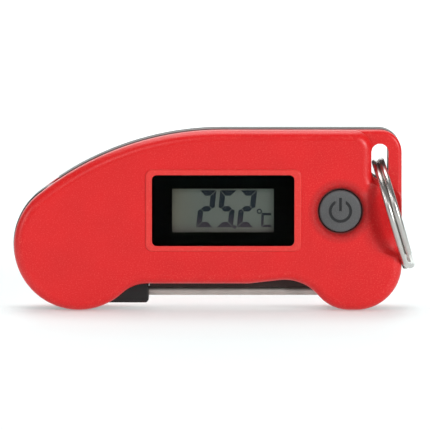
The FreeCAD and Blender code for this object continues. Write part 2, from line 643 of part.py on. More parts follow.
def battery():
    """The coin cell, its holder and contacts, and the twist-off cap with its seal."""
    x, z = size("cell_x"), size("cell_z")
    cell = round_body("coin_cell", "cell_radius", "Sizes.cell_front",
                      "Sizes.cell_front + Sizes.cell_thick", "cell_x", "cell_z")
    soften(cell, cell.Tip, lambda p: True, "symbol_depth")
    holder = new_body("battery_holder")
    slab(holder, circle(x, z, size("holder_radius")) + circle(x, z, size("holder_bore")),
         BOARD_BACK, "Sizes.holder_back")
    slab(holder, circle(x, z, size("holder_bore")) + circle(x, z, size("holder_eye")),
         "Sizes.holder_floor - Sizes.holder_web", "Sizes.holder_floor")
    edge, width = x + size("cell_radius"), size("clip_width")
    clip, play = size("clip_thick"), size("clip_play")
    slab(holder, rectangle(edge, z - width / 2 - play, clip + play, width + 2 * play),
         BOARD_BACK, "Sizes.holder_back", cut=True)
    plus = new_body("battery_contact_plus")
    slab(plus, rectangle(edge + size("pane_gap"), z - width / 2, clip, width), BOARD_BACK,
         "Sizes.holder_back - Sizes.clip_short")
    minus = new_body("battery_contact_minus")
    low, high = size("board_thick") - size("board_front"), size("cell_front")
    leaf, rake = size("leaf_thick"), size("leaf_rake")
    (foot, bend), (rise, tongue) = LEAF_FOOT, LEAF_TONGUE
    spring = [(foot, low), (bend, low), (rise, high - leaf), (tongue, high - leaf),
              (tongue, high), (rise - rake, high), (bend - rake, low + leaf), (foot, low + leaf)]
    corners = [point(x + along, level) for along, level in spring]
    strip = [line(corners[i - 1], corners[i]) for i in range(len(corners))]
    sketch = new_sketch(minus, "XY_Plane", "Sizes.cell_z", strip)
    pad = minus.newObject("PartDesign::Pad", "spring_leaf")
    pad.Profile = sketch
    pad.Midplane = True
    pad.setExpression("Length", "Sizes.clip_width")
    doc.recompute()
    battery_cap()


def battery_cap():
    """The cap: a coin-slotted disc, a neck with three bayonet lugs and a groove for its seal."""
    x, z = size("cell_x"), size("cell_z")
    cap = new_body("battery_cap")
    outer = disc(cap, "cap_radius", "Sizes.cap_seat", "Sizes.cap_back", "cell_x", "cell_z")
    soften(cap, outer, on_level(size("cap_back")), "symbol_depth")
    disc(cap, "neck_radius", "Sizes.neck_front", "Sizes.cap_seat", "cell_x", "cell_z")
    for angle in LUG_ANGLES:
        slab(cap, spoke(angle, 0, size("lug_radius"), size("lug_width")),
             "Sizes.neck_front", "Sizes.neck_front + Sizes.lug_thick")
    ring, wire = size("cap_ring_radius"), size("cap_ring_wire")
    slab(cap, circle(x, z, ring + wire) + circle(x, z, ring - wire), "Sizes.cap_seat",
         "Sizes.cap_seat + 2 * Sizes.cap_ring_wire", cut=True)
    slot, width = size("coin_slot"), size("coin_slot_width")
    slab(cap, rounded(x - slot / 2, z - width / 2, slot, width, size("coin_slot_round")),
         "Sizes.cap_back - Sizes.coin_slot_depth", "Sizes.cap_back", cut=True)
    seal("battery_cap_seal", ["Sizes.cap_seat + Sizes.cap_ring_wire"], "cap_ring_radius",
         "cap_ring_wire", "cell_x", "cell_z")


def seal(label, depths, radius, wire, x, z):
    """One O-ring at each Y level, as one piece."""
    rings = []
    for number, depth in enumerate(depths):
        ring = doc.addObject("Part::Torus", f"{label}_{number}")
        ring.setExpression("Radius1", f"Sizes.{radius}")
        ring.setExpression("Radius2", f"Sizes.{wire}")
        ring.Placement = Placement(Vector(), Rotation(Vector(1, 0, 0), -90))
        ring.setExpression("Placement.Base.x", f"Sizes.{x}")
        ring.setExpression("Placement.Base.y", depth)
        ring.setExpression("Placement.Base.z", f"Sizes.{z}")
        rings.append(ring)
    group(label, rings)


def group(label, pieces):
    """A node that holds several separate solids."""
    compound = doc.addObject("Part::Compound", label)
    compound.Links = pieces
    place(compound)
    nodes.append(compound)


def boot_curves():
    """The boot that points along the probe, with its two outer corners round."""
    middle = size("pivot_height") - size("probe_drop")
    low, high, end = middle - size("boot_rise"), middle + size("boot_rise"), size("boot_end")
    corner, quarter = size("boot_round"), math.pi / 2
    lower, upper = point(end - corner, low + corner), point(end - corner, high - corner)
    return [
        arc(lower, corner, -quarter, 0),
        line(polar(lower, corner, 0), polar(upper, corner, 0)),
        arc(upper, corner, 0, quarter),
        line(polar(upper, corner, quarter), point(0, high)),
        line(point(0, high), point(0, low)),
        line(point(0, low), polar(lower, corner, -quarter)),
    ]


def hub_half(label, side):
    """Half of the round hub and its boot, which clamp the probe's root between them."""
    body = new_body(label)
    span = levels(side, "0", "Sizes.hub_y")
    disc(body, "hub_radius", *span, "hinge_x", "pivot_height")
    boot = slab(body, boot_curves(), *span)
    soften(body, boot, on_level(side * size("hub_y")), "rim_fillet")
    disc(body, "hub_bore", *span, "hinge_x", "pivot_height", cut=True)
    middle = size("pivot_height") - size("probe_drop")
    sketch = new_sketch(body, "YZ_Plane", "Sizes.boot_end + Sizes.overshoot",
                        circle(0, middle, size("shaft_radius")))
    before = body.Shape.Volume
    seat = body.newObject("PartDesign::Pocket", f"{label}_seat")
    seat.Profile = sketch
    seat.setExpression("Length", "Sizes.boot_end + Sizes.overshoot - Sizes.shaft_start")
    doc.recompute()
    if not body.Shape.Volume < before:
        raise RuntimeError(f"{label}: the probe's seat removed nothing")


def probe():
    """The stainless probe tube with its reduced tip, the sensor bead and its two leads."""
    body = new_body("probe_shaft")
    start, step, narrow = size("shaft_start"), size("shaft_step"), size("tip_step")
    taper, end = size("tip_taper"), size("tip_end")
    root, tip = size("shaft_radius"), size("tip_radius")
    bore, tip_bore = size("shaft_bore"), size("tip_bore")
    inside = taper - tip_bore
    profile = [(start, bore), (start, root), (step, root), (narrow, tip), (taper, tip), (end, 0),
               (inside, 0), (inside, tip_bore), (narrow, tip_bore), (step, bore)]
    corners = [point(*corner) for corner in profile]
    curves = [line(corners[i - 1], corners[i]) for i in range(len(corners))]
    sketch = new_sketch(body, "XZ_Plane", "0", curves)
    sketch.setExpression("AttachmentOffset.Base.y", "Sizes.pivot_height - Sizes.probe_drop")
    turned = body.newObject("PartDesign::Revolution", "probe_turned")
    turned.Profile = sketch
    turned.ReferenceAxis = (sketch, ["H_Axis"])
    turned.Angle = 360
    doc.recompute()
    along = {
        "thermistor_bead": [("bead_radius", "Sizes.bead_start", "Sizes.bead_length", "0")],
        "sensor_leads": [
            ("lead_radius", "Sizes.shaft_start", "Sizes.bead_start - Sizes.shaft_start",
             f"{way} * Sizes.lead_spread") for way in (-1, 1)],
    }
    for label, rods in along.items():
        group(label, [rod(f"{label}_{number}", *values) for number, values in enumerate(rods)])


def rod(name, radius, begin, length, offset):
    """A round rod along the probe's axis, moved up from it by an offset."""
    cylinder = doc.addObject("Part::Cylinder", name)
    cylinder.setExpression("Radius", f"Sizes.{radius}")
    cylinder.setExpression("Height", length)
    cylinder.Placement = Placement(Vector(), Rotation(Vector(0, 1, 0), 90))
    cylinder.setExpression("Placement.Base.x", begin)
    cylinder.setExpression("Placement.Base.z",
                           f"Sizes.pivot_height - Sizes.probe_drop + {offset}")
    return cylinder


def hinge():
    """The pin that the hub turns on, two friction washers and two O-rings."""
    pin = round_body("hinge_pin", "pin_radius", "-Sizes.pin_y", "Sizes.pin_y",
                     "hinge_x", "pivot_height")
    soften(pin, pin.Tip, lambda p: abs(abs(p.y) - size("pin_y")) < 1e-4, "symbol_depth")
    washers = new_body("friction_washers")
    for side in (-1, 1):
        ring = circle(0, size("pivot_height"), size("washer_radius"))
        bore = circle(0, size("pivot_height"), size("washer_bore"))
        slab(washers, ring + bore,
             *levels(side, "Sizes.hub_y + Sizes.washer_gap", "Sizes.seam_y"))
    hub_seal = "(Sizes.seam_y + Sizes.seal_seat - Sizes.seal_wire)"
    seal("hub_seals", [f"-{hub_seal}", hub_seal], "seal_ring_radius", "seal_wire",
         "hinge_x", "pivot_height")


def screws():
    """Four case screws from the rear, and three that hold the board to its posts."""
    case = new_body("case_screws")
    head, cross, bar = size("head_radius"), size("cross_long"), size("cross_wide")
    for x, z in CASE_SCREWS:
        slab(case, circle(x, z, size("screw_radius")), "-Sizes.screw_tip", "Sizes.head_seat")
        slab(case, circle(x, z, head), "Sizes.head_seat", "Sizes.head_seat + Sizes.head_thick")
        for long, high in ((cross, bar), (bar, cross)):
            slab(case, rectangle(x - long / 2, z - high / 2, long, high),
                 "Sizes.head_seat + Sizes.head_thick - Sizes.cross_depth",
                 "Sizes.head_seat + Sizes.head_thick", cut=True)
    board = new_body("board_screws")
    for x, z in BOARD_SCREWS:
        slab(board, circle(x, z, size("board_screw_radius")), "-Sizes.board_screw_tip",
             BOARD_BACK)
        slab(board, circle(x, z, size("board_screw_head")), BOARD_BACK,
             f"{BOARD_BACK} + Sizes.board_screw_back")


def rear_label():
    """A blank plate let into the rear face."""
    body = new_body("rear_label")
    gap = size("pane_gap")
    slab(body, rounded(size("label_x") + gap, size("label_z") + gap, size("label_long") - 2 * gap,
                       size("label_high") - 2 * gap, size("rim_fillet") - gap),
         "Sizes.face_y - Sizes.label_depth", "Sizes.face_y - Sizes.pane_gap")


def split_ring():
    """The lanyard ring: two flat turns of wire side by side, joined by a short crossing."""
    radius, pitch = size("ring_radius"), size("ring_wire") + size("pane_gap")
    cross = math.radians(size("ring_crossing"))
    steps = 4

    def at(angle, lift):
        return Vector(radius * math.cos(angle), radius * math.sin(angle), lift)

    def turn(start, end, lift):
        return Part.Arc(at(start, lift), at((start + end) / 2, lift), at(end, lift)).toShape()

    full = 2 * math.pi
    ease = [(1 - math.cos(math.pi * i / steps)) / 2 for i in range(steps + 1)]
    crossing = Part.BSplineCurve()
    crossing.interpolate(
        Points=[at(full - cross + 2 * cross * i / steps, pitch * (e - 0.5))
                for i, e in enumerate(ease)],
        InitialTangent=Vector(math.sin(cross), math.cos(cross), 0),
        FinalTangent=Vector(-math.sin(cross), math.cos(cross), 0))
    path = Part.Wire([turn(cross, full - cross, -pitch / 2), crossing.toShape(),
                      turn(cross, full - cross, pitch / 2)])
    section = Part.Circle(at(cross, -pitch / 2), Vector(-math.sin(cross), math.cos(cross), 0),
                          size("ring_wire") / 2)
    ring = doc.addObject("Part::Feature", "split_ring")
    ring.Shape = path.makePipeShell([Part.Wire(section.toShape())], True, False)
    ring.Placement = Placement(Vector(), Rotation(Vector(0, 1, 0), 90 - size("ring_tilt")))
    ring.setExpression("Placement.Base.x", f"{RING_CENTRE_X} - Sizes.origin_x")
    ring.setExpression("Placement.Base.z", f"{RING_CENTRE_Z} + Sizes.band_proud")
    nodes.append(ring)


def export():
    """Check every object and every piece, then write one STEP file for each piece."""
    doc.recompute()
    failed = [o.Label for o in doc.Objects if "Invalid" in o.State or "Error" in o.State]
    if failed:
        raise RuntimeError(f"objects that failed: {failed}")
    os.makedirs("parts", exist_ok=True)
    for piece in nodes:
        shape = piece.Shape
        if shape.isNull() or not shape.isValid() or not shape.Solids:
            raise RuntimeError(f"{piece.Label} has no valid solid")
        shape.exportStep(f"parts/{piece.Label}.step")
        print(f"{piece.Label}: {len(shape.Solids)} solid(s), {shape.Volume:.1f} mm3")


front_shell()
rear_shell()
mid_frame()
display()
electronics()
power_switch()
battery()
hub_half("probe_hub", -1)
hub_half("probe_hub_cover", 1)
probe()
hinge()
screws()
rear_label()
split_ring()
export()
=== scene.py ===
"""The folding thermometer's looks: materials, the display's segments, light and camera."""
import math

import bmesh
import bpy
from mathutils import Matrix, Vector


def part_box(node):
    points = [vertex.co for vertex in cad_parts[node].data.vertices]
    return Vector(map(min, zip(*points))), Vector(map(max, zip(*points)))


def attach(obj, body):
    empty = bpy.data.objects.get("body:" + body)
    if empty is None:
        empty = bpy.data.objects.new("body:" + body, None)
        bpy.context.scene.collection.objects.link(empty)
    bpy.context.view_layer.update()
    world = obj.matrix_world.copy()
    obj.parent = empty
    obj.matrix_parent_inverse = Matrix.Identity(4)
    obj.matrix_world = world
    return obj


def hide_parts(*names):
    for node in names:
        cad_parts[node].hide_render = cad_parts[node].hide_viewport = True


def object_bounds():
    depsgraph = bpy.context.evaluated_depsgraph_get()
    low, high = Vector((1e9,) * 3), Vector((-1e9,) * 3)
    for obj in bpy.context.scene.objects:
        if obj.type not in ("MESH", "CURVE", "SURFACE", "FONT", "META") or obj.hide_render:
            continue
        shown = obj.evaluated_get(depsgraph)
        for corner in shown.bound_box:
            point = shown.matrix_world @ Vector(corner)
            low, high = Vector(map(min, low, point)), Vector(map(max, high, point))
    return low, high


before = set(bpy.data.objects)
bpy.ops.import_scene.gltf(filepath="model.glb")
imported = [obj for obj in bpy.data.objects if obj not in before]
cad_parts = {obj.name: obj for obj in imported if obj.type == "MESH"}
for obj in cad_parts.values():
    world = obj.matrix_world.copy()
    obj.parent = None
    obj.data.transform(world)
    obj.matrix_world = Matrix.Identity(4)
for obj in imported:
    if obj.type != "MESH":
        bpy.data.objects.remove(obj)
cad_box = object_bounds()
MM = 0.001


# ---------------------------------------------------------------- shared helpers

def middle_of(name):
    """The middle of a CAD node's box."""
    low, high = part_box(name)
    return (low + high) / 2


def new_object(name, mesh, material):
    """Turns mesh code's result into an object of the scene, with its faces turned outward."""
    bmesh.ops.recalc_face_normals(mesh, faces=mesh.faces)
    data = bpy.data.meshes.new(name)
    mesh.to_mesh(data)
    mesh.free()
    data.materials.append(material)
    thing = bpy.data.objects.new(name, data)
    bpy.context.scene.collection.objects.link(thing)
    return thing


# ---------------------------------------------------------------- material helpers

class Shader:
    """One node material: a Principled surface and short calls that add nodes to it."""

    def __init__(self, name, **surface):
        self.material = bpy.data.materials.new(name)
        self.material.use_nodes = True
        self.tree = self.material.node_tree
        self.surface = self.tree.nodes["Principled BSDF"]
        for socket, value in surface.items():
            self.surface.inputs[socket.replace("_", " ")].default_value = value
        self.place = self.add("ShaderNodeTexCoord").outputs["Object"]
        self.dull = 0.0  # the least roughness, which a shade may raise in places

    def add(self, kind, **settings):
        """A new node of that kind, with its settings."""
        node = self.tree.nodes.new(kind)
        for key, value in settings.items():
            setattr(node, key, value)
        return node

    def link(self, source, target):
        """Joins an output socket to an input socket."""
        self.tree.links.new(source, target)

    def noise(self, scale, detail=2.0, rough=0.5, stretch=None):
        """Noise in the part's frame; scale counts lumps in a metre."""
        node = self.add("ShaderNodeTexNoise")
        node.inputs["Scale"].default_value = scale
        node.inputs["Detail"].default_value = detail
        node.inputs["Roughness"].default_value = rough
        source = self.place
        if stretch:
            mapping = self.add("ShaderNodeMapping")
            mapping.inputs["Scale"].default_value = stretch
            self.link(source, mapping.inputs["Vector"])
            source = mapping.outputs["Vector"]
        self.link(source, node.inputs["Vector"])
        return node.outputs["Fac"]

    def ramp(self, value, stops):
        """A colour ramp from (position, colour) stops."""
        node = self.add("ShaderNodeValToRGB")
        elements = node.color_ramp.elements
        while len(elements) < len(stops):
            elements.new(0.5)
        for element, (position, colour) in zip(elements, stops):
            element.position = position
            element.color = (*colour, 1.0)
        self.link(value, node.inputs["Fac"])
        return node.outputs["Color"]

    def spread(self, value, low, high, to_low=0.0, to_high=1.0):
        """Maps one range of numbers to another, and stops at its ends."""
        node = self.add("ShaderNodeMapRange")
        for socket, number in zip(("From Min", "From Max", "To Min", "To Max"),
                                  (low, high, to_low, to_high)):
            node.inputs[socket].default_value = number
        self.link(value, node.inputs["Value"])
        return node.outputs["Result"]

    def mix(self, factor, first, second):
        """Mixes two colours; either may be a socket or three numbers."""
        node = self.add("ShaderNodeMix", data_type="RGBA")
        self.link(factor, node.inputs["Factor"])
        for name, value in (("A", first), ("B", second)):
            socket = next(s for s in node.inputs if s.name == name and s.type == "RGBA")
            if isinstance(value, tuple):
                socket.default_value = (*value, 1.0)
            else:
                self.link(value, socket)
        return next(s for s in node.outputs if s.type == "RGBA")

    def edges(self):
        """How near a place is to a corner, from 0 to 1."""
        soft = self.add("ShaderNodeBevel", samples=4)
        soft.inputs["Radius"].default_value = 0.4 * MM
        agreement = self.add("ShaderNodeVectorMath", operation="DOT_PRODUCT")
        self.link(soft.outputs["Normal"], agreement.inputs[0])
        self.link(self.add("ShaderNodeNewGeometry").outputs["Normal"], agreement.inputs[1])
        return self.spread(agreement.outputs["Value"], 0.98, 0.8)

    def around(self, centre, narrow=1.0):
        """The distance from an axis along Y through a point; narrow magnifies what is across."""
        flat = self.add("ShaderNodeVectorMath", operation="MULTIPLY")
        flat.inputs[1].default_value = (narrow, 0.0, 1.0)
        self.link(self.place, flat.inputs[0])
        gap = self.add("ShaderNodeVectorMath", operation="DISTANCE")
        gap.inputs[1].default_value = (narrow * centre.x, 0.0, centre.z)
        self.link(flat.outputs["Vector"], gap.inputs[0])
        return gap.outputs["Value"]

    def axes(self):
        """The place in the part's frame, as separate X, Y and Z."""
        node = self.add("ShaderNodeSeparateXYZ")
        self.link(self.place, node.inputs["Vector"])
        return node.outputs

    def multiply(self, first, second):
        """The product of two numbers; either may be a socket."""
        return self.combine("MULTIPLY", first, second)

    def combine(self, operation, first, second=0.0):
        """One step of arithmetic; either number may be a socket."""
        node = self.add("ShaderNodeMath", operation=operation)
        for socket, value in zip(node.inputs, (first, second)):
            if isinstance(value, (int, float)):
                socket.default_value = value
            else:
                self.link(value, socket)
        return node.outputs["Value"]

    def bump(self, height, distance, strength=1.0):
        """Chains a bump of that height, in metres, on the surface's normal."""
        node = self.add("ShaderNodeBump")
        node.inputs["Distance"].default_value = distance
        node.inputs["Strength"].default_value = strength
        self.link(height, node.inputs["Height"])
        normal = self.surface.inputs["Normal"]
        if normal.is_linked:
            self.link(normal.links[0].from_socket, node.inputs["Normal"])
        self.link(node.outputs["Normal"], normal)

    def colour(self, source):
        """Sets the surface's colour from a socket."""
        self.link(source, self.surface.inputs["Base Color"])

    def roughness(self, source):
        """Sets the surface's roughness from a socket."""
        self.link(source, self.surface.inputs["Roughness"])


def srgb(red, green, blue):
    """A colour given as 0 to 255, as linear numbers."""
    def linear(value):
        value /= 255
        return value / 12.92 if value <= 0.04045 else ((value + 0.055) / 1.055) ** 2.4
    return (linear(red), linear(green), linear(blue))


def moulded(name, body, dark, light, roughness, grain=0.01 * MM, flecks=0.12, shade=None,
            shine=0.45):
    """Moulded plastic: fine spark-eroded grain, cloudy colour, and paler edges: rubbed wear and
    a painted highlight.

    A shade is a function that changes the colour in places: it takes the shader and the colour.
    """
    shader = Shader(name, Specular_IOR_Level=shine)
    cloud = shader.noise(90, 3)
    fleck = shader.noise(2600, 2, 0.7)
    base = shader.ramp(cloud, [(0.3, dark), (0.7, body)])
    base = shader.mix(shader.spread(fleck, 0.52, 0.7, 0.0, flecks), base, light)
    # paler corners: partly rubbed wear, partly a painted highlight
    wear_and_highlight = shader.multiply(shader.edges(), shader.spread(shader.noise(700, 3), 0.42, 0.62))
    base = shader.mix(shader.multiply(wear_and_highlight, 0.35), base, light)
    if shade:
        base = shade(shader, base)
    shader.colour(base)
    rough = shader.spread(shader.noise(1500, 4), 0.3, 0.7, roughness - 0.07, roughness + 0.08)
    shader.roughness(shader.combine("MAXIMUM", rough, shader.dull))
    shader.bump(shader.noise(5200, 2, 0.6), grain, 0.8)
    shader.bump(shader.noise(2100, 3), grain * 1.5, 0.4)
    return shader.material


def metal(name, colour, roughness, stretch, brush, scale=900):
    """Bare metal with fine brush lines along one direction and faint smears.

    Stretch scales the noise along each axis, and brush is the lines' depth in metres.
    """
    shader = Shader(name, Metallic=1.0)
    lines = shader.noise(scale, 3, 0.6, stretch)
    smear = shader.noise(130, 3)
    smeared = tuple(0.8 * value for value in colour)
    shader.colour(shader.mix(shader.spread(smear, 0.35, 0.7), colour, smeared))
    shader.roughness(shader.spread(lines, 0.3, 0.7, roughness - 0.06, roughness + 0.08))
    shader.bump(lines, brush, 0.6)
    return shader.material


# ---------------------------------------------------------------- materials

RED = srgb(217, 10, 16)
RED_DARK = srgb(210, 7, 13)
RED_LIGHT = srgb(243, 98, 86)
RED_PAINTED_SHADE = srgb(160, 0, 6)
EVEN, ALONG_X = (1.0, 1.0, 1.0), (0.05, 1.0, 1.0)


def black_plastic(name, tone, roughness, shade=None, shine=0.38):
    """Dark moulded plastic or rubber, paler at its edges: rubbed wear and a painted highlight.
    """
    dark = tuple(0.7 * value for value in tone)
    light = tuple(min(1.0, 2.6 * value + 0.3 * tone[0] ** 0.5) for value in tone)
    return moulded(name, tone, dark, light, roughness, grain=0.008 * MM, shade=shade,
                   shine=shine)


def pane_material():
    """Clear acrylic with an anti-glare hard coat and the faintest handling haze."""
    shader = Shader("clear_pane", Transmission_Weight=1.0, IOR=1.08, Specular_IOR_Level=0.3)
    haze = shader.noise(260, 4)
    shader.colour(shader.ramp(haze, [(0.3, (0.97, 0.98, 0.98)), (0.8, (1.0, 1.0, 1.0))]))
    shader.roughness(shader.spread(haze, 0.45, 0.8, 0.0, 0.04))
    return shader.material


def lcd_material():
    """The crystal's grey-green ground: warmer at its left and darker along its foot."""
    shader = Shader("lcd_ground", Specular_IOR_Level=0.1, Roughness=0.35)
    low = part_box("window_mask")[0]
    place = shader.axes()
    across = shader.spread(place["X"], low.x + 6 * MM, low.x + 14 * MM)
    ground = shader.mix(across, srgb(104, 102, 90), srgb(97, 103, 96))
    foot = shader.spread(place["Z"], low.z + 3.6 * MM, low.z + 6.4 * MM)
    ground = shader.mix(foot, srgb(88, 80, 78), ground)
    grain = shader.spread(shader.noise(1600, 3), 0.3, 0.7, 0.0, 0.25)
    shader.colour(shader.mix(grain, ground, srgb(88, 92, 86)))
    shader.bump(shader.noise(4000, 2), 0.002 * MM, 0.3)
    return shader.material


def segment_material():
    """Dark segments, which look paler and purple towards the display's foot."""
    shader = Shader("lcd_segment", Specular_IOR_Level=0.1)
    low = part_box("window_mask")[0]
    place = shader.axes()
    height = shader.spread(place["Z"], low.z + 5.4 * MM, low.z + 9.5 * MM)
    tone = shader.mix(height, srgb(62, 54, 62), srgb(20, 27, 35))
    grain = shader.spread(shader.noise(2600, 2), 0.35, 0.7, 0.0, 0.3)
    shader.colour(shader.mix(grain, tone, srgb(48, 50, 56)))
    shader.roughness(shader.spread(shader.noise(900, 2), 0.3, 0.7, 0.4, 0.55))
    shader.bump(shader.noise(4000, 2), 0.001 * MM, 0.2)
    return shader.material


def board_material():
    """Green solder mask over a faint grid of tracks."""
    shader = Shader("solder_mask", Specular_IOR_Level=0.5)
    tracks = shader.add("ShaderNodeTexBrick")
    tracks.inputs["Scale"].default_value = 260
    tracks.inputs["Mortar Size"].default_value = 0.03
    shader.link(shader.place, tracks.inputs["Vector"])
    shader.colour(shader.mix(tracks.outputs["Fac"], srgb(16, 92, 48), srgb(40, 128, 70)))
    shader.roughness(shader.spread(shader.noise(600, 3), 0.3, 0.7, 0.25, 0.4))
    shader.bump(tracks.outputs["Fac"], 0.02 * MM, 0.5)
    return shader.material


def front_shade(shader, base):
    """Painted light on the front: bezel highlight, shade round the button and in the ring's
    valley.
    """
    crest, bezel_foot, bezel_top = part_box("front_shell")[0].y, 0.45 * MM, 0.1 * MM
    # painted highlight: the bezel above the face is mixed towards pale red
    bezel_highlight = shader.spread(shader.axes()["Y"], crest + bezel_foot, crest + bezel_top)
    base = shader.mix(shader.multiply(bezel_highlight, 0.2), base, RED_LIGHT)

    # painted shade: dark red along the valley beside the ring, fading away from it
    valley = (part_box("split_ring")[0] + middle_of("split_ring")) / 2
    valley.z = middle_of("split_ring").z
    narrow, core, rim = 1.7, 3 * MM, 13 * MM
    beside = shader.around(valley, narrow)
    base = shader.mix(shader.spread(beside, core, rim, 0.55, 0.0), base, RED_PAINTED_SHADE)

    # painted shade: a dark, grainy halo round the button, fading outward
    opening, fringe = 6.6 * MM, 10.0 * MM
    gap = shader.around(middle_of("switch_plunger"))
    grain = shader.spread(shader.noise(1500, 3), 0.3, 0.7, 0.6, 1.0)
    near = shader.multiply(shader.spread(gap, opening, fringe, 0.8, 0.0), grain)
    base = shader.mix(near, base, srgb(84, 8, 8))
    # painted light: the opening's wall is painted paler, so the shade in the gap reads less
    # black
    inside = shader.spread(gap, opening + 0.5 * MM, opening + 0.1 * MM)
    base = shader.mix(inside, base, srgb(135, 48, 46))

    matt, glossy = 0.95, 0.2
    shader.dull = shader.combine("MAXIMUM", shader.spread(beside, 2 * core, rim, matt, glossy),
                                 shader.spread(gap, 7.2 * MM, 9.5 * MM, matt, glossy))
    return base


def slot_shade(shader, base):
    """Painted shade on the band inside the probe's slot, above the shaft and between the lobes.
    """
    place, roof = shader.axes(), 3.6 * MM
    shaft_top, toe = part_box("probe_shaft")[1].z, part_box("main_board")[1].x
    # painted shade: dark brown where the slot lies in shade
    low = shader.spread(place["Z"], shaft_top + roof, shaft_top + roof + 0.3 * MM, 1, 0)
    left = shader.spread(place["X"], toe, toe - MM)
    return shader.mix(shader.multiply(low, left), base, srgb(46, 31, 28))


def symbol_shade(shader, base):
    """Darkens the button's engraved symbol and its soft edges: an open circle and a bar."""
    radius, circle_line, bar_line, soft = 3.06 * MM, 0.40 * MM, 0.38 * MM, 0.1 * MM
    opening, bar_middle, bar_half = 1.6 * MM, 2.02 * MM, 2.0 * MM
    place, centre = shader.axes(), middle_of("switch_plunger")

    def away(value, number):
        """How far a value is from a number, whichever is larger."""
        return shader.combine("ABSOLUTE", shader.combine("SUBTRACT", value, number))

    across, up = away(place["X"], centre.x), shader.combine("SUBTRACT", place["Z"], centre.z)
    off = away(shader.around(centre), radius)
    circle = shader.spread(off, circle_line, circle_line + soft, 1, 0)
    top = shader.spread(across, opening + soft, opening - soft)
    circle = shader.combine("SUBTRACT", circle, shader.multiply(top, shader.spread(up, 0, MM)))
    thin = shader.spread(across, bar_line, bar_line + soft, 1, 0)
    long = shader.spread(away(up, bar_middle), bar_half, bar_half + soft, 1, 0)
    mark = shader.combine("MAXIMUM", circle, shader.multiply(thin, long))
    return shader.mix(mark, base, srgb(40, 40, 42))


def put(material, *names):
    """Gives CAD nodes a material."""
    for name in names:
        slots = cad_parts[name].data.materials
        slots.clear()
        slots.append(material)


def dress_nodes():
    """Every CAD node's finish."""
    red = (RED, RED_DARK, RED_LIGHT, 0.37)
    put(moulded("red_front", *red, flecks=0.38, shade=front_shade), "front_shell")
    put(moulded("red_plastic", *red, flecks=0.38), "rear_shell", "battery_cap")
    put(moulded("grey_band", srgb(108, 101, 99), srgb(96, 90, 88), srgb(160, 152, 149), 0.6,
                shade=slot_shade), "mid_frame")
    put(pane_material(), "display_window")
    put(black_plastic("black_print", (0.0015, 0.001, 0.0012), 0.5, shine=0.05), "window_mask")
    put(lcd_material(), "lcd_glass")
    put(black_plastic("black_moulding", (0.012, 0.012, 0.013), 0.45),
        "lcd_frame", "tact_switch", "battery_holder")
    put(black_plastic("boot_plastic", (0.010, 0.0095, 0.010), 0.38),
        "probe_hub", "probe_hub_cover")
    put(black_plastic("button_rubber", srgb(88, 88, 89), 0.5, symbol_shade), "power_button")
    put(black_plastic("seal_rubber", (0.01, 0.01, 0.01), 0.5), "hub_seals", "battery_cap_seal")
    put(black_plastic("chip_epoxy", (0.02, 0.02, 0.022), 0.4),
        "microcontroller", "probe_converter", "thermistor_bead")
    put(moulded("contact_rubber", srgb(120, 120, 126), srgb(84, 84, 90), srgb(170, 170, 175),
                0.6), "lcd_connectors")
    white = moulded("white_moulding", srgb(232, 230, 222), srgb(220, 218, 208),
                    srgb(248, 247, 243), 0.45)
    put(white, "lcd_backlight", "switch_plunger", "friction_washers")
    put(board_material(), "main_board")
    put(moulded("ceramic", srgb(176, 150, 112), srgb(160, 132, 96), srgb(214, 196, 168), 0.4),
        "chip_capacitors")
    put(moulded("lead_sleeve", srgb(150, 40, 34), srgb(130, 30, 26), srgb(190, 100, 90), 0.5),
        "sensor_leads")
    put(metal("probe_steel", (0.62, 0.575, 0.54), 0.52, ALONG_X, 0.004 * MM), "probe_shaft")
    ring = metal("ring_steel", (0.59, 0.57, 0.545), 0.27, EVEN, 0.0015 * MM, scale=70)
    put(ring, "split_ring")
    split_ring(ring)
    put(metal("plain_steel", (0.60, 0.585, 0.565), 0.3, EVEN, 0.003 * MM),
        "hinge_pin", "clock_crystal", "coin_cell", "case_screws", "board_screws")
    put(metal("contact_strip", (0.72, 0.66, 0.52), 0.25, (1.0, 0.2, 1.0), 0.003 * MM),
        "battery_contact_plus", "battery_contact_minus")
    put(metal("label_plate", (0.62, 0.62, 0.63), 0.32, (0.08, 1.0, 1.0), 0.004 * MM),
        "rear_label")


# ---------------------------------------------------------------- the split ring

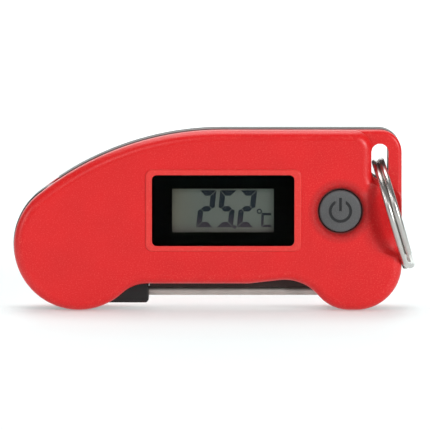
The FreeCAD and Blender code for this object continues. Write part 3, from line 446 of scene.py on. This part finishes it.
def split_ring(material):
    """The ring's wire: nearly two turns, which cross at the foot and end in round tips.

    Angles are counted from the foot towards the display's side.
    """
    tilt, wire = math.radians(16.5), 0.95 * MM
    first, cross_start, cross_end, last = (math.radians(a) for a in (46, 357, 394, 718))
    steps, sides, tip_steps = 320, 20, 5
    centre, radius = middle_of("split_ring"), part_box("split_ring")[1].y - wire
    down = Vector((math.sin(tilt), 0.0, -math.cos(tilt)))
    axis = Vector((math.cos(tilt), 0.0, math.sin(tilt)))
    ahead = Vector((0.0, -1.0, 0.0))

    def spot(angle):
        """The wire's middle at that angle: the turns lie side by side, a wire apart."""
        crossed = min(max((angle - cross_start) / (cross_end - cross_start), 0.0), 1.0)
        side = math.cos(math.pi * crossed) * wire
        return centre + radius * (math.cos(angle) * down + math.sin(angle) * ahead) + side * axis

    stations = []
    for step in range(steps + 1):
        angle = first + (last - first) * step / steps
        tangent = (spot(angle + 0.001) - spot(angle - 0.001)).normalized()
        stations.append((spot(angle), tangent, wire))

    def tip(station, way):
        """Ever thinner stations beyond an end, which round it off."""
        place, tangent, _ = station
        turns = (math.pi / 2 * step / (tip_steps + 0.3) for step in range(1, tip_steps + 1))
        return [(place + way * math.sin(turn) * wire * tangent, tangent, math.cos(turn) * wire)
                for turn in turns]

    stations = tip(stations[0], -1)[::-1] + stations + tip(stations[-1], 1)
    mesh = bmesh.new()
    rings = []
    for place, tangent, thick in stations:
        out = (place - centre).cross(tangent).normalized()
        up = tangent.cross(out).normalized()
        rings.append([mesh.verts.new(place + thick * (math.cos(a) * out + math.sin(a) * up))
                      for a in (2 * math.pi * side / sides for side in range(sides))])
    for before, after in zip(rings, rings[1:]):
        for side in range(sides):
            mesh.faces.new((before[side - 1], before[side], after[side], after[side - 1]))
    mesh.faces.new(rings[0])
    mesh.faces.new(rings[-1][::-1])
    for face in mesh.faces:
        face.smooth = True
    piece = new_object("split_ring_wire", mesh, material)
    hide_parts("split_ring")
    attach(piece, "ring")


# ---------------------------------------------------------------- the display's reading

class Reading:
    """Seven-segment figures, drawn as thin plates on the crystal's face."""

    WIDE, HIGH, BAR, GAP, PITCH = 4.95 * MM, 11.15 * MM, 1.62 * MM, 0.1 * MM, 6.1 * MM
    SLANT, UNIT_SLANT, DEPTH = 0.105, 0.04, 0.03 * MM
    FIRST, LEVEL = 16.3 * MM, 10.95 * MM  # the first figure's middle, from the mask's corner
    LIT = {"2": "abged", "5": "afgcd"}

    def __init__(self, material):
        self.mesh = bmesh.new()
        self.material = material
        self.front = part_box("lcd_glass")[0].y

    def plate(self, outline, centre, slant=SLANT):
        """Adds a flat plate of that outline, in metres from its centre."""
        rings = []
        for depth in (0, -self.DEPTH):
            rings.append([self.mesh.verts.new((centre[0] + x + slant * z, self.front + depth,
                                               centre[1] + z)) for x, z in outline])
        self.mesh.faces.new(rings[1])
        self.mesh.faces.new(rings[0][::-1])
        for i in range(len(outline)):
            self.mesh.faces.new((rings[0][i - 1], rings[0][i], rings[1][i], rings[1][i - 1]))

    def outlines(self):
        """The seven bars' outlines, by their usual letters."""
        side, end, bar, gap = self.WIDE / 2, self.HIGH / 2, self.BAR, self.GAP
        top = [(-side + gap, end), (-side + bar + gap, end - bar), (side - bar - gap, end - bar),
               (side - gap, end)]
        right = [(side, end - gap), (side - bar, end - bar - gap), (side - bar, bar / 2 + gap),
                 (side - bar / 2, gap), (side, 0.3 * bar)]
        middle = [(-side + bar / 2 + gap, 0), (-side + bar + gap, bar / 2),
                  (side - bar - gap, bar / 2), (side - bar / 2 - gap, 0),
                  (side - bar - gap, -bar / 2), (-side + bar + gap, -bar / 2)]

        def flip(points, x, z):
            """The points mirrored across, up or both, and still wound the same way."""
            turned = [(x * px, z * pz) for px, pz in points]
            return turned if x * z > 0 else turned[::-1]

        return {"a": top, "b": right, "g": middle, "f": flip(right, -1, 1),
                "c": flip(right, 1, -1), "e": flip(right, -1, -1), "d": flip(top, 1, -1)}

    def figure(self, sign, centre):
        """One figure, from its lit bars."""
        shapes = self.outlines()
        for letter in self.LIT[sign]:
            self.plate(shapes[letter], centre)

    def dot(self, centre, radius, hole=0.0):
        """A round spot, or a thin ring if it has a hole."""
        count = 24
        corners = [(math.cos(a), math.sin(a)) for a in
                   (2 * math.pi * i / count for i in range(count))]
        if not hole:
            self.plate([(radius * x, radius * z) for x, z in corners], centre, 0)
            return
        for start, end in zip(corners, corners[1:] + corners[:1]):
            self.plate([(r * x, r * z) for r, (x, z) in
                        ((hole, start), (hole, end), (radius, end), (radius, start))], centre, 0)

    def unit(self, corner):
        """The unit's sign: three bars round an open right side."""
        thick, tall, wide, gap = 0.75 * MM, 4.35 * MM, 3.05 * MM, self.GAP
        inner = thick + gap
        x, z = corner
        self.plate([(0, gap), (0, tall - gap), (thick, tall - inner), (thick, inner)],
                   corner, self.UNIT_SLANT)
        for level, ends in ((0, (gap, inner)), (tall - thick, (inner, gap))):
            self.plate([(ends[0], 0), (ends[1], thick), (wide, thick), (wide, 0)],
                       (x, z + level), self.UNIT_SLANT)

    def build(self):
        """The reading 25.2 degrees C, placed from the window mask's box."""
        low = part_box("window_mask")[0]
        left, middle = low.x + self.FIRST, low.z + self.LEVEL
        for number, sign in enumerate("252"):
            self.figure(sign, (left + number * self.PITCH, middle))
        foot, last = middle - self.HIGH / 2, left + 2 * self.PITCH
        self.dot((left + 1.5 * self.PITCH - 0.65 * MM, foot + 0.1 * MM), 0.58 * MM)
        self.dot((last + 3.75 * MM, middle - 0.75 * MM), 0.8 * MM, hole=0.42 * MM)
        self.unit((last + 4.2 * MM, foot))
        piece = new_object("lcd_segments", self.mesh, self.material)
        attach(piece, "case")


# ---------------------------------------------------------------- floor, light and camera

def stage():
    """A white floor that curves up into a white wall well behind the object."""
    shader = Shader("floor", Roughness=0.6, Specular_IOR_Level=0.1, Emission_Strength=0.31,
                    Emission_Color=(1.0, 1.0, 1.0, 1.0))
    tones = [(0.2, (0.60, 0.66, 0.66)), (0.8, (0.62, 0.68, 0.68))]
    shader.colour(shader.ramp(shader.noise(3, 2), tones))
    half, front, wall, top, curve, curve_steps = 4.0, -3.0, 2.5, 3.0, 0.8, 12
    profile = [(front, 0.0)]
    for step in range(curve_steps + 1):
        angle = math.pi / 2 * step / curve_steps
        profile.append((wall - curve + curve * math.sin(angle), curve * (1 - math.cos(angle))))
    profile.append((wall, top))
    mesh = bmesh.new()
    sides = [[mesh.verts.new((x, y, z)) for y, z in profile] for x in (-half, half)]
    for i in range(1, len(profile)):
        mesh.faces.new((sides[0][i - 1], sides[1][i - 1], sides[1][i], sides[0][i]))
    floor = new_object("floor", mesh, shader.material)


def area_light(name, place, target, side, power):
    """A square soft box that faces a point."""
    light = bpy.data.lights.new(name, "AREA")
    light.size = side
    light.energy = power
    box = bpy.data.objects.new(name, light)
    box.location = place
    box.rotation_euler = (Vector(target) - Vector(place)).to_track_quat("-Z", "Y").to_euler()
    bpy.context.scene.collection.objects.link(box)


def studio():
    """Even white surroundings, a large soft box above and weaker ones at the sides."""
    world = bpy.data.worlds.new("studio")
    world.use_nodes = True
    background = world.node_tree.nodes["Background"]
    background.inputs["Color"].default_value = (1.0, 1.0, 1.0, 1.0)
    background.inputs["Strength"].default_value = 0.14
    bpy.context.scene.world = world
    middle = (cad_box[0] + cad_box[1]) / 2
    area_light("top_box", (0.0, 0.3, 1.2), middle, 0.9, 10.0)
    area_light("front_box", (-0.5, -1.5, 1.0), middle, 0.5, 4.6)
    area_light("left_box", (-1.2, -0.6, 0.45), middle, 0.5, 3.5)
    area_light("right_box", (1.0, -1.05, 0.5), middle, 0.4, 13.0)
    area_light("back_box", (0.0, 1.2, 1.3), (0.0, 2.5, 0.6), 2.4, 62.0)


def camera():
    """A long lens in front, a little above the object's middle."""
    distance, rise, span, sensor = 1.40, math.radians(5.5), 0.129, 36.0
    target = Vector((0.25 * MM, -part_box("rear_shell")[1].y, 29.25 * MM))
    data = bpy.data.cameras.new("camera")
    data.sensor_width = sensor
    data.lens = sensor * distance / span
    eye = bpy.data.objects.new("camera", data)
    eye.location = target + distance * Vector((0, -math.cos(rise), math.sin(rise)))
    eye.rotation_euler = (target - eye.location).to_track_quat("-Z", "Y").to_euler()
    bpy.context.scene.collection.objects.link(eye)
    bpy.context.scene.camera = eye


camera()
studio()
stage()
dress_nodes()
Reading(segment_material()).build()
bpy.context.scene.view_settings.view_transform = "Standard"
